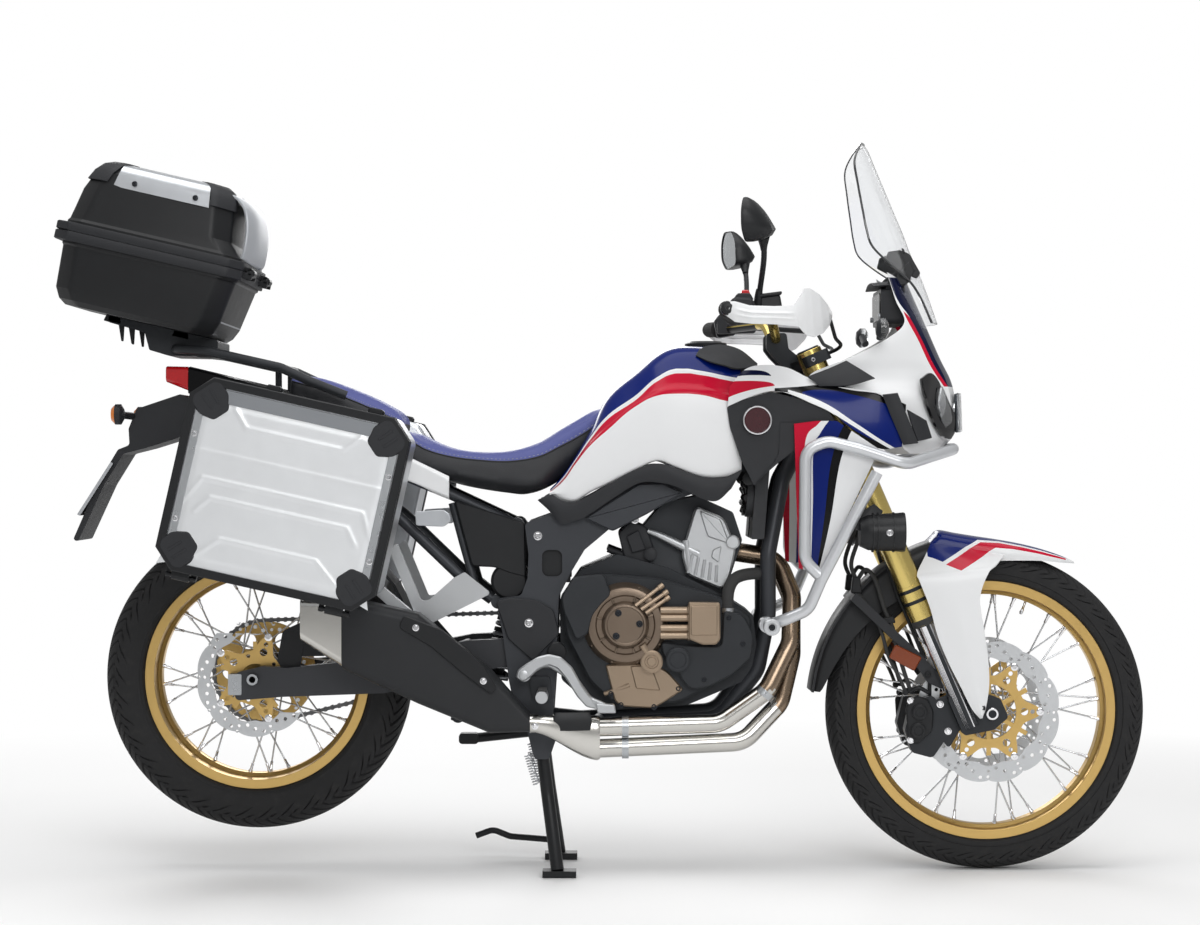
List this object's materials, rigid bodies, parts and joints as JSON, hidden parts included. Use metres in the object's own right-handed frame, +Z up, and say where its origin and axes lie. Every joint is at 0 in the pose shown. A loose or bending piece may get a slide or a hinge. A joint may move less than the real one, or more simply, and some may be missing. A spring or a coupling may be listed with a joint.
{
  "type": "adventure motorcycle",
  "caption": "Two-wheel touring motorcycle with wire wheels, crash bars, windscreen, side cases and a top case, parked on its centre stand",
  "frame": {"origin": "on the floor under the middle of the motorcycle's bounding box, in its mid-plane", "axes": "+X forward, +Y to the rider's left, +Z up"},
  "size_m": [2.3525, 0.94, 1.585],
  "materials": {
    "tyre": "matt",
    "gold": "anodised",
    "steel": "brushed",
    "chrome": "polished",
    "dark_metal": "satin",
    "rubber": "matt",
    "black_plastic": "matt",
    "bronze": "satin",
    "white": "gloss",
    "seat": "grained",
    "glass": "clear",
    "clear": "clear",
    "red": "gloss",
    "amber": "gloss",
    "aluminium": "satin"
  },
  "bodies": {
    "chassis": {"main_frame": "dark_metal", "subframe": "dark_metal", "engine_block": "dark_metal", "engine_covers": "bronze", "radiators": "black_plastic", "exhaust_pipes": "steel", "silencer": "dark_metal", "fuel_tank": "white", "rider_seat": "seat", "pillion_seat": "seat", "tank_trims": "black_plastic", "side_fairings": "white", "front_fairing": "white", "headlights": "glass", "windscreen": "clear", "instrument_panel": "black_plastic", "tail_fairing": "white", "rear_carrier": "dark_metal", "tail_light": "red", "rear_mudguard": "black_plastic", "indicators": "amber", "crash_bars": "steel", "fog_lamps": "black_plastic", "footpegs": "steel", "passenger_pegs": "aluminium", "swingarm": "aluminium", "rear_shock": "dark_metal", "drive_chain": "steel", "rear_caliper": "dark_metal", "hugger": "black_plastic", "pannier_carrier": "dark_metal", "pannier_right": "aluminium", "pannier_left": "aluminium", "topbox": "black_plastic"},
    "steering": {"fork_tubes": "gold", "fork_yokes": "dark_metal", "fork_sliders": "chrome", "front_calipers": "dark_metal", "front_mudguard": "white", "handlebar": "gold", "grips_and_levers": "rubber", "handguards": "black_plastic", "mirrors": "black_plastic", "cables": "rubber"},
    "front_wheel": {"front_tyre": "tyre", "front_rim": "gold", "front_spokes": "steel", "front_hub": "gold", "front_discs": "steel"},
    "rear_wheel": {"rear_tyre": "tyre", "rear_rim": "gold", "rear_spokes": "steel", "rear_hub": "dark_metal", "rear_disc": "steel"},
    "topbox_lid": {"topbox_lid": "black_plastic"},
    "pannier_lid_left": {"pannier_lid_left": "aluminium"},
    "pannier_lid_right": {"pannier_lid_right": "aluminium"},
    "centre_stand": {"centre_stand": "dark_metal"},
    "side_stand": {"side_stand": "dark_metal"}
  },
  "joints": [
    {"name": "steering", "type": "hinge", "parent": "chassis", "child": "steering", "pos_m": [0.45407, 0, 0.99901], "axis": [-0.3987, 0, 0.9171], "range_deg": [-38, 38]},
    {"name": "front_wheel_spin", "type": "hinge", "parent": "steering", "child": "front_wheel", "pos_m": [0.8245, 0, 0.3477], "axis": [0, 1, 0], "continuous": true},
    {"name": "rear_wheel_spin", "type": "hinge", "parent": "chassis", "child": "rear_wheel", "pos_m": [-0.7615, 0, 0.422], "axis": [0, 1, 0], "continuous": true},
    {"name": "topbox_lid_hinge", "type": "hinge", "parent": "chassis", "child": "topbox_lid", "pos_m": [-0.7632, 0, 1.29076], "axis": [0, 1, 0], "range_deg": [0, 75]},
    {"name": "pannier_lid_left_hinge", "type": "hinge", "parent": "chassis", "child": "pannier_lid_left", "pos_m": [-0.70318, 0.436, 0.61873], "axis": [-0.9755, 0, 0.2198], "range_deg": [0, 75]},
    {"name": "pannier_lid_right_hinge", "type": "hinge", "parent": "chassis", "child": "pannier_lid_right", "pos_m": [-0.70318, -0.436, 0.61873], "axis": [0.9755, 0, -0.2198], "range_deg": [0, 75]},
    {"name": "centre_stand_hinge", "type": "hinge", "parent": "chassis", "child": "centre_stand", "pos_m": [-0.142, 0, 0.266], "axis": [0, 1, 0], "range_deg": [0, 86]},
    {"name": "side_stand_hinge", "type": "hinge", "parent": "chassis", "child": "side_stand", "pos_m": [-0.04, 0.146, 0.296], "axis": [0, -0.94, -0.3412], "range_deg": [0, 92]}
  ]
}
